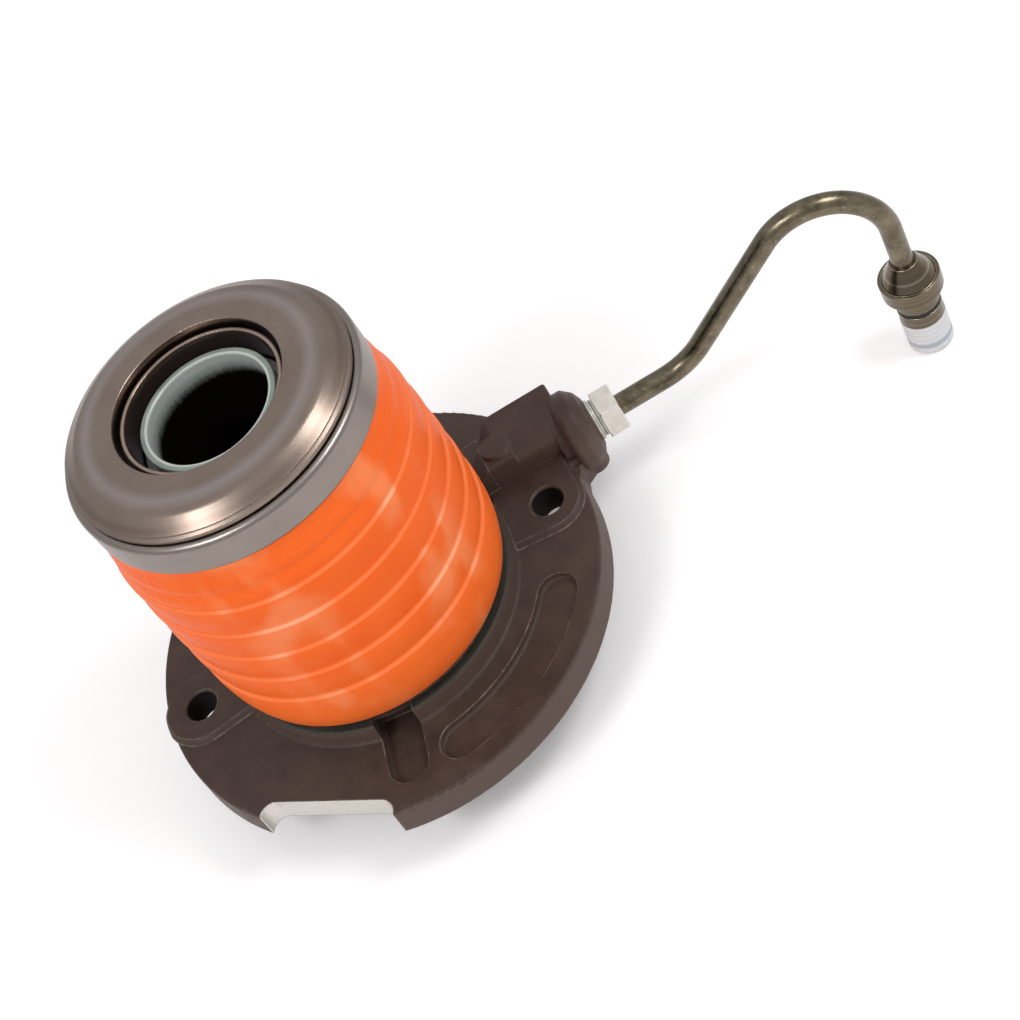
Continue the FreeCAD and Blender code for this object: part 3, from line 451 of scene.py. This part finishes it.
def bootFinish(s, shape):
    # soft orange silicone
    finish, tree, shader = newFinish("orangeSilicone", coat=s["coat"], coatRoughness=s["coatRough"],
                                     specular=s["specular"])
    place = addNode(tree, "Attribute", attribute_name="restPlace").outputs["Vector"]
    cloud = grain(tree, place, s["mottle"], 2, 0.4)
    fine = grain(tree, place, s["grain"], 3, 0.6)
    base = blendColours(tree, spread(tree, cloud, 0.35, 0.65), colour(*s["body"]), colour(*s["pale"]))
    height = coordinate(tree, place, "Z")
    # painted light: the boot is made lighter towards its bottom, to offset the shade there
    low, high = s["footLightFade"]
    base = blendColours(tree, spread(tree, height, low * mm, high * mm, s["footLightAmount"], 0.0), base,
                        colour(*s["foot"]))
    ledgeHighlight = ledgeHighlights(tree, height, s, shape)
    # painted highlight along the fold ledges
    base = blendColours(tree, ledgeHighlight, base, colour(*s["edge"]))
    angle = calculate(tree, "ARCTAN2", coordinate(tree, place, "Y"), coordinate(tree, place, "X"))
    fromSeam = calculate(tree, "SINE", calculate(tree, "SUBTRACT", angle, math.radians(s["seamAngle"])))
    seam = spread(tree, calculate(tree, "ABSOLUTE", fromSeam), 0.0, s["seamWidth"] / s["seamRadius"], 1.0, 0.0)
    base = blendColours(tree, times(tree, seam, s["seamAmount"]), base, colour(*s["edge"]))
    # painted highlights: soft pale patches down two sides, with glints on the fold ledges within them
    patch = spread(tree, grain(tree, stretch(tree, place, (1, 1, 0.6)), s["patch"], 2, 0.45), *s["patches"])
    for side in s["highlightAngles"]:
        turned = calculate(tree, "SUBTRACT", angle, math.radians(side))
        near = spread(tree, calculate(tree, "COSINE", turned), 1 - s["highlightWidth"] ** 2, 1.0)
        base = blendColours(tree, times(tree, near, patch, s["highlightAmount"]), base, colour(*s["highlightPatch"]))
        glint = calculate(tree, "MINIMUM", times(tree, near, ledgeHighlight, patch, s["glintAmount"]), 1.0)
        base = blendColours(tree, glint, base, colour(*s["glint"]))
    dust = spread(tree, grain(tree, place, s["dustSize"], 2, 0.4), 0.76, 0.82)
    base = blendColours(tree, times(tree, dust, s["dustAmount"]), base, colour(*s["dust"]))
    # fine ripples where the bellows is stretched over the cup
    wave = calculate(tree, "SINE", times(tree, height, math.tau / (s["ripple"] * mm)))
    low, high, fade = s["ripplesFrom"], s["ripplesTo"], s["rippleFade"]
    rise = spread(tree, height, low * mm, (low + fade) * mm)
    fall = spread(tree, height, (high - fade) * mm, high * mm, 1.0, 0.0)
    relief = calculate(tree, "ADD", times(tree, fine, s["grainHeight"]), seam)
    relief = calculate(tree, "ADD", relief, times(tree, wave, rise, fall, s["rippleHeight"]))
    dressShader(tree, shader, base, uneven(tree, fine, s["rough"]), bump(tree, relief, s["relief"]))
    shader.inputs["Subsurface Weight"].default_value = s["glowThrough"]
    shader.inputs["Subsurface Scale"].default_value = s["glowDepth"] * mm
    shader.inputs["Subsurface Radius"].default_value = s["glowColour"]
    return finish


metalLooks = {
    "raceSteel": {"dark": (138, 123, 113), "light": (150, 135, 124), "lines": 0.22, "depth": 0.0012,
                  "rough": (0.25, 0.28), "mottle": 12,
                  "lightAndShadeBands": [{"from": 27.4, "to": 32.4, "soft": 2.3, "tint": (180, 172, 172), "amount": 0.5},
                            {"from": 35.0, "to": 37.6, "soft": 1.0, "tint": (120, 102, 92), "amount": 0.5}]},
    "cupSteel": {"dark": (141, 132, 126), "light": (152, 143, 136), "lines": 0.3, "depth": 0.003,
                 "rough": (0.28, 0.36), "mottle": 14},
    "zincSteel": {"dark": (120, 130, 120), "light": (146, 154, 144), "wall": (208, 216, 208), "lines": 0.3,
                  "depth": 0.008, "rough": (0.28, 0.44), "metal": 0.25,
                  "lightAndShadeBands": [{"from": 16.0, "to": 16.9, "soft": 0.25, "tint": (206, 214, 206), "amount": 0.7}],
                  "bore": {"streak": 0.5, "ragged": 1.6,
                           "shade": (116, 124, 114), "shadeFade": (93.4, 96.8), "shadeInside": 16.4,
                           "dark": (14, 4, 3), "darkFade": (92.1, 94.2), "darkInside": 16.3}},
    "bronzeSleeve": {"dark": (150, 128, 114), "light": (168, 148, 134), "wall": (74, 60, 56), "lines": 0.3,
                     "depth": 0.004, "rough": (0.16, 0.28), "metal": 0.7},
    "springSteel": {"dark": (70, 70, 72), "light": (92, 91, 92), "lines": 0.5, "depth": 0.006,
                    "rough": (0.35, 0.5)},
    "pistonAlloy": {"dark": (148, 148, 150), "light": (172, 172, 174), "lines": 0.3, "depth": 0.006,
                    "rough": (0.3, 0.45)},
    "ballSteel": {"dark": (186, 186, 188), "light": (204, 204, 206), "lines": 1.5, "depth": 0.001,
                  "rough": (0.1, 0.16)},
}


def ringBand(tree, radius, s):
    # a faint ring of another tint between two radii
    inside = spread(tree, radius, s["from"] * mm, (s["from"] + s["soft"]) * mm)
    outside = spread(tree, radius, (s["to"] - s["soft"]) * mm, s["to"] * mm, 1.0, 0.0)
    return times(tree, inside, outside, s["amount"])


def darkenBore(tree, place, radius, height, base, s):
    # painted shade: streaks down the bore that turn darker, then black, further down, with a ragged border
    streaks = grain(tree, stretch(tree, place, (1, 1, 0.15)), s["streak"], 2)
    ragged = calculate(tree, "ADD", height, times(tree, streaks, s["ragged"] * mm))
    low, high = s["shadeFade"]
    shade = times(tree, spread(tree, ragged, low * mm, high * mm, 0.9, 0.0),
                  calculate(tree, "LESS_THAN", radius, s["shadeInside"] * mm))
    base = blendColours(tree, shade, base, colour(*s["shade"]))
    low, high = s["darkFade"]
    deep = times(tree, spread(tree, ragged, low * mm, high * mm, 1.0, 0.0),
                 calculate(tree, "LESS_THAN", radius, s["darkInside"] * mm))
    return blendColours(tree, deep, base, colour(*s["dark"]))


def turnedMetal(name, s):
    # ground or turned metal with rings about the shaft axis
    finish, tree, shader = newFinish(name, metal=s.get("metal", 1.0))
    place = objectPlace(tree)
    radius, height = aboutShaft(tree, place)
    lines = latheLines(tree, radius, height, s["lines"])
    base = mottled(tree, grain(tree, place, s.get("mottle", 6), 4, 0.6), s)
    # painted light and shade: upright walls get their own tint, lighter inside the guide tube and darker inside the
    # sleeve
    if "wall" in s:
        base = blendColours(tree, spread(tree, levelness(tree), 0.25, 0.6, 1.0, 0.0), base, colour(*s["wall"]))
    # painted light and shade: a pale ring on the race's face, a darker ring near its edge and a highlight on the
    # guide tube's crest
    for band in s.get("lightAndShadeBands", []):
        base = blendColours(tree, ringBand(tree, radius, band), base, colour(*band["tint"]))
    # painted shade deep in the bore
    if "bore" in s:
        base = darkenBore(tree, place, radius, height, base, s["bore"])
    dressShader(tree, shader, base, uneven(tree, lines, s["rough"]), bump(tree, lines, s["depth"]))
    return finish


pipeLook = {"dark": (80, 72, 54), "light": (132, 121, 98), "mottle": 5, "fleck": (206, 198, 178),
            "fleckSize": 0.9, "flecks": (0.6, 0.7), "fleckAmount": 0.5, "grain": 0.6, "grainDepth": 0.02,
            "rough": (0.24, 0.36), "coat": 0.5, "coatRough": 0.14}


def pipeFinish(s):
    # bare drawn steel, oiled, with small light flecks
    finish, tree, shader = newFinish("pipeSteel", metal=1.0, coat=s["coat"], coatRoughness=s["coatRough"])
    place = objectPlace(tree)
    cloud = grain(tree, place, s["mottle"], 4, 0.65)
    fleck = spread(tree, grain(tree, place, s["fleckSize"], 4, 0.75), *s["flecks"])
    base = blendColours(tree, times(tree, fleck, s["fleckAmount"]), mottled(tree, cloud, s), colour(*s["fleck"]))
    dressShader(tree, shader, base, uneven(tree, cloud, s["rough"]),
                bump(tree, grain(tree, place, s["grain"], 3, 0.6), s["grainDepth"]))
    return finish


connectorLook = {
    "dark": (78, 68, 51), "light": (126, 113, 90), "lines": 0.3, "depth": 0.02, "rough": (0.2, 0.3),
    "coat": 0.5, "coatRough": 0.14,
    "edgeWearAndHighlight": (222, 210, 186), "edge": 0.35, "edgeTurn": (0.02, 0.14), "edgeWearAndHighlightAmount": 0.9,
    "lightAndShadeRings": [{"radius": 5.9, "tint": (222, 210, 186), "amount": 0.22},
              {"radius": 7.35, "tint": (34, 28, 20), "amount": 0.8}],
    "ringFade": (0.1, 0.3), "ringsWithin": 8,        # mm from the connector's top
}


def connectorFinish(s):
    # turned steel with lathe rings about the connector's own axis, painted highlight and shade rings near its top
    # and painted highlights on its edges
    finish, tree, shader = newFinish("connectorSteel", metal=1.0, coat=s["coat"], coatRoughness=s["coatRough"])
    radius, height = aboutShaft(tree, objectPlace(tree), middleOf("quick_connector"))
    lines = latheLines(tree, radius, height, s["lines"])
    base = mottled(tree, lines, s)
    nearTop = calculate(tree, "GREATER_THAN", height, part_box("quick_connector")[1].z - s["ringsWithin"] * mm)
    low, high = s["ringFade"]
    # painted light and shade: a pale highlight ring on the cone and a dark shade ring in the groove by the rim
    for ring in s["lightAndShadeRings"]:
        off = calculate(tree, "ABSOLUTE", calculate(tree, "SUBTRACT", radius, ring["radius"] * mm))
        band = times(tree, spread(tree, off, low * mm, high * mm, ring["amount"], 0.0), nearTop)
        base = blendColours(tree, band, base, colour(*ring["tint"]))
    # painted highlight: edges made pale
    edge, softNormal = roundedEdge(tree, s["edge"], s["edgeTurn"])
    base = blendColours(tree, times(tree, edge, s["edgeWearAndHighlightAmount"]), base, colour(*s["edgeWearAndHighlight"]))
    dressShader(tree, shader, base, uneven(tree, lines, s["rough"]), bump(tree, lines, s["depth"], softNormal))
    return finish


nutLook = {"dark": (214, 209, 198), "light": (236, 232, 222), "mottle": 3, "metal": 0.6, "rough": (0.3, 0.42),
           "edgeWearAndHighlight": (255, 255, 252), "edge": 0.6, "edgeTurn": (0.01, 0.08), "edgeWearAndHighlightAmount": 0.85,
           "threadShade": (120, 124, 104), "threadShadeAmount": 0.85, "pitch": 0.75, "hexLength": 5.8,
           "grain": 0.5, "grooveHeight": 6.0, "relief": 0.015}


def nutFinish(s):
    # bright zinc with thread rings on the shank, painted shade in the thread's grooves and painted highlights on
    # its edges
    finish, tree, shader = newFinish("nutZinc", metal=s["metal"])
    place = objectPlace(tree)
    cloud = grain(tree, place, s["mottle"], 3, 0.6)
    along = coordinate(tree, place, "X")
    onShank = calculate(tree, "LESS_THAN", along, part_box("port_nut")[1].x - (s["hexLength"] + 0.1) * mm)
    wave = calculate(tree, "SINE", times(tree, along, math.tau / (s["pitch"] * mm)))
    # painted shade in the thread's grooves
    groove = times(tree, spread(tree, wave, -0.2, 0.4), onShank)
    base = blendColours(tree, times(tree, groove, s["threadShadeAmount"]), mottled(tree, cloud, s),
                        colour(*s["threadShade"]))
    # painted highlight: edges made near white
    edge, softNormal = roundedEdge(tree, s["edge"], s["edgeTurn"])
    base = blendColours(tree, times(tree, edge, s["edgeWearAndHighlightAmount"]), base, colour(*s["edgeWearAndHighlight"]))
    relief = calculate(tree, "SUBTRACT", grain(tree, place, s["grain"], 3, 0.6),
                       times(tree, groove, s["grooveHeight"]))
    dressShader(tree, shader, base, uneven(tree, cloud, s["rough"]), bump(tree, relief, s["relief"], softNormal))
    return finish


mouldedLooks = {
    "blackRubber": {"dark": (22, 20, 20), "light": (38, 36, 35), "mottle": 3, "grain": 0.4, "depth": 0.03,
                    "rough": (0.5, 0.68), "specular": 0.4},
    "mouldedCage": {"dark": (84, 76, 60), "light": (104, 94, 76), "mottle": 4, "grain": 0.6, "depth": 0.02,
                    "rough": (0.42, 0.55), "specular": 0.45},
}


def mouldedFinish(name, s):
    # rubber of the seals and plastic of the cage
    finish, tree, shader = newFinish(name, specular=s["specular"])
    place = objectPlace(tree)
    fine = grain(tree, place, s["grain"], 3, 0.6)
    base = blendColours(tree, grain(tree, place, s["mottle"]), colour(*s["dark"]), colour(*s["light"]))
    dressShader(tree, shader, base, uneven(tree, fine, s["rough"]), bump(tree, fine, s["depth"]))
    return finish


capLook = {"white": (246, 246, 245), "grey": (234, 236, 238), "mottle": 4, "rough": (0.2, 0.28),
           "shade": (164, 174, 190), "bandHeight": 3.4, "bandFade": (0.2, 1.2), "bandAmount": 0.8,
           "ring": 1.7, "ringAmount": 0.25, "ringDepth": 0.03, "clear": 0.2, "bending": 1.4}


def capFinish(s):
    # milky plastic, with a grey-blue band where the nose inside shows through
    finish, tree, shader = newFinish("milkyPlastic")
    place = objectPlace(tree)
    height = coordinate(tree, place, "Z")
    cloud = grain(tree, place, s["mottle"], 2, 0.4)
    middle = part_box("transport_cap")[0].z + s["bandHeight"] * mm
    low, high = s["bandFade"]
    off = calculate(tree, "ABSOLUTE", calculate(tree, "SUBTRACT", height, middle))
    band = spread(tree, off, low * mm, high * mm, s["bandAmount"], 0.0)
    wave = calculate(tree, "SINE", times(tree, height, math.tau / (s["ring"] * mm)))
    base = blendColours(tree, cloud, colour(*s["white"]), colour(*s["grey"]))
    base = blendColours(tree, band, base, colour(*s["shade"]))
    base = blendColours(tree, spread(tree, wave, 0.4, 1.0, 0.0, s["ringAmount"]), base, colour(*s["shade"]))
    dressShader(tree, shader, base, uneven(tree, cloud, s["rough"]), bump(tree, wave, s["ringDepth"]))
    shader.inputs["Transmission Weight"].default_value = s["clear"]
    shader.inputs["IOR"].default_value = s["bending"]
    return finish


# Cast web that covers the opening of the port's bore, behind the boss

webShape = {
    "alongX": (63.9, 68.2), "round": 0.5, "segments": 3, "sharp": 50,
    "profile": [(13.6, 8.6), (9.3, 8.6), (9.9, 9.8), (11.3, 12.6), (12.4, 15.4), (13.6, 16.0)],   # Y and Z, mm
}


def buildWeb(s, finish):
    shape = bmesh.new()
    low, high = s["alongX"]
    corners = [shape.verts.new((low * mm, y * mm, z * mm)) for y, z in s["profile"]]
    side = shape.faces.new(corners)
    pulled = bmesh.ops.extrude_face_region(shape, geom=[side])
    moved = [part for part in pulled["geom"] if isinstance(part, bmesh.types.BMVert)]
    bmesh.ops.translate(shape, vec=((high - low) * mm, 0, 0), verts=moved)
    bmesh.ops.recalc_face_normals(shape, faces=shape.faces[:])
    bmesh.ops.bevel(shape, geom=shape.edges[:], offset=s["round"] * mm, affect="EDGES", segments=s["segments"],
                    profile=edgeShape, material=-1)
    markSharp(shape, s["sharp"])
    web = finishMesh(shape, "castWeb", smooth=True)
    web.data.materials.append(finish)
    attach(web, "housing")


# Boot: bellows with wide shallow folds and narrow creases

bootShape = {
    "sleeve": 38.05, "foot": 40.7, "crest": 42.8, "taper": 0.056, "head": 39.3,      # radii and their loss
    "bottom": 16.5, "ringTop": 23.0, "firstCrest": 28.5, "top": 87.9,
    "folds": 5, "pitch": 10.125, "valleyAt": -0.25, "crestAt": 0.15, "ledgeAt": 0.42,
    "crease": 0.9, "ledge": 1.0, "wall": 1.3,
    "steps": 160, "segments": 4, "sharp": 60,
}


def foldLine(s, inset):
    line = []
    for fold in range(s["folds"]):
        height = s["firstCrest"] + fold * s["pitch"]
        radius = s["crest"] - s["taper"] * fold * fold - inset
        ledge = height + s["pitch"] * s["ledgeAt"]
        if fold:
            line.append((radius - s["crease"] / 3, height + s["pitch"] * s["valleyAt"], 1.3))
        line.append((radius, height + s["pitch"] * s["crestAt"], 1.6))
        line.append((radius - s["crease"] / 5, ledge, 0.2))
        line.append((radius - s["crease"], ledge + s["ledge"], 0.2))
    return line


def buildBoot(s, finish):
    taperTop = s["firstCrest"] + s["folds"] * s["pitch"]
    outside = [
        (s["sleeve"], s["bottom"], 0.2),
        (s["foot"], s["bottom"], 0.65),
        ((s["foot"] + 3 * s["crest"]) / 4, s["bottom"] + 5.4, 3.0),
    ] + foldLine(s, 0) + [
        (s["head"] + 2 * s["crease"], taperTop - 0.3 * s["pitch"], 0.5),
        (s["head"] + s["crease"], taperTop, 0.3),
        (s["head"] + 1.2 * s["crease"], taperTop + 2.0, 0.8),
        (s["head"], s["top"] - 2.6, 0.6),
        (s["head"], s["top"], 0.15),
    ]
    inside = [(s["sleeve"], s["ringTop"] + s["wall"], 0.3)] + foldLine(s, s["wall"]) + [
        (s["head"] + s["crease"] - s["wall"], taperTop, 0.5),
        (s["head"] - s["wall"], s["top"], 0.15),
    ]
    boot = turnPiece("bellowsBoot", outside + inside[::-1], s["steps"], s["segments"], s["sharp"])
    keepPlaces(boot)
    boot.data.materials.append(finish)
    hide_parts("boot")
    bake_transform(boot)
    boot.visible_glossy = False        # keeps its orange out of the pipe and the bearing


# Preload spring: round wire with a flat half turn at each end

springShape = {"wire": 1.6, "radius": 32.5, "bottom": 15.2, "top": 86.7, "halfTurns": 12, "stepsPerHalf": 26,
               "sides": 12, "mergeGap": 1e-7, "sharp": 50}


def buildSpring(s, finish):
    shape = bmesh.new()
    start = Matrix.Translation((s["radius"] * mm, 0, (s["bottom"] + s["wire"]) * mm))
    bmesh.ops.create_circle(shape, segments=s["sides"], radius=s["wire"] * mm, cap_ends=True,
                            matrix=start @ Matrix.Rotation(math.pi / 2, 4, "X"))
    rise = (s["top"] - s["bottom"] - 2 * s["wire"]) / (s["halfTurns"] - 2) / s["stepsPerHalf"] * mm
    ring = shape.verts[:] + shape.edges[:]
    for half in range(s["halfTurns"]):
        flat = half in (0, s["halfTurns"] - 1)
        made = bmesh.ops.spin(shape, geom=ring, cent=(0, 0, 0), axis=(0, 0, 1), angle=math.pi,
                              steps=s["stepsPerHalf"], dvec=(0, 0, 0 if flat else rise), use_merge=False)
        ring = made["geom_last"]
    bmesh.ops.contextual_create(shape, geom=[part for part in ring if isinstance(part, bmesh.types.BMEdge)])
    bmesh.ops.remove_doubles(shape, verts=shape.verts[:], dist=s["mergeGap"])
    bmesh.ops.recalc_face_normals(shape, faces=shape.faces[:])
    markSharp(shape, s["sharp"])
    spring = finishMesh(shape, "preloadCoil", smooth=True)
    keepPlaces(spring)
    spring.data.materials.append(finish)
    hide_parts("preload_spring")
    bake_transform(spring)


# Everything is put together here

buildCamera(viewSettings)
buildSoftBoxes(softBoxes)
buildWorld(worldSettings)
buildFloor(floorSettings)
stageLog("camera, lamps and floor")

finishes = {name: turnedMetal(name, look) for name, look in metalLooks.items()}
finishes.update({name: mouldedFinish(name, look) for name, look in mouldedLooks.items()})
finishes.update({name: castingFinish(castingLook, name, edgeWearAndHighlight) for name, edgeWearAndHighlight in castingLook["edgeWearAndHighlightAmounts"].items()})
finishes["pipeSteel"] = pipeFinish(pipeLook)
finishes["connectorSteel"] = connectorFinish(connectorLook)
finishes["nutZinc"] = nutFinish(nutLook)
finishes["milkyPlastic"] = capFinish(capLook)
finishes["orangeSilicone"] = bootFinish(bootLook, bootShape)
stageLog("finishes")

for node, piece, finish in [("housing", "castFlange", "coatedCasting"),
                            ("port_block", "castPortBlock", "portCasting")]:
    fitCopy(node, piece, finishes[finish], "housing", 28, "CORNER_ANGLE")
buildWeb(webShape, finishes["portCasting"])
dressed = {
    "coatedCasting": ("pressure_cylinder", "locating_spigot", "boot_ring"),
    "blackRubber": ("shaft_seal", "spigot_ring", "connector_seal", "piston_seal", "inner_seal", "outer_seal"),
    "springSteel": ("stop_ring", "lower_spring_seat", "upper_spring_seat", "bearing_clip", "centring_washer"),
    "pistonAlloy": ("piston",), "mouldedCage": ("ball_cage",), "ballSteel": ("bearing_balls",),
}
for finish, nodes in dressed.items():
    for node in nodes:
        dressNode(node, finishes[finish])
stageLog("casting and hidden pieces")

buildBoot(bootShape, finishes["orangeSilicone"])
buildSpring(springShape, finishes["springSteel"])
for node, piece, finish, body, slotName in [
    ("release_race", "pressRace", "raceSteel", "release_race", "race_steel"),
    ("bearing_cup", "pressedCup", "cupSteel", "bearing_carrier", "cup_steel"),
    ("fixed_race", "innerSleeve", "bronzeSleeve", "bearing_carrier", "race_steel"),
]:
    fitCopy(node, piece, finishes[finish], body)
stageLog("boot, spring and bearing")

for node, piece, finish, slotName in [
    ("guide_tube", "guideTube", "zincSteel", "zinc_steel"),
    ("port_nut", "tubeNut", "nutZinc", "nut_zinc"),
    ("pipe", "feedPipe", "pipeSteel", "pipe_steel"),
    ("quick_connector", "pushConnector", "connectorSteel", "connector_steel"),
    ("transport_cap", "dustCap", "milkyPlastic", "cap_plastic"),
]:
    fitCopy(node, piece, finishes[finish], "housing")
stageLog("pipe, nut and connector")
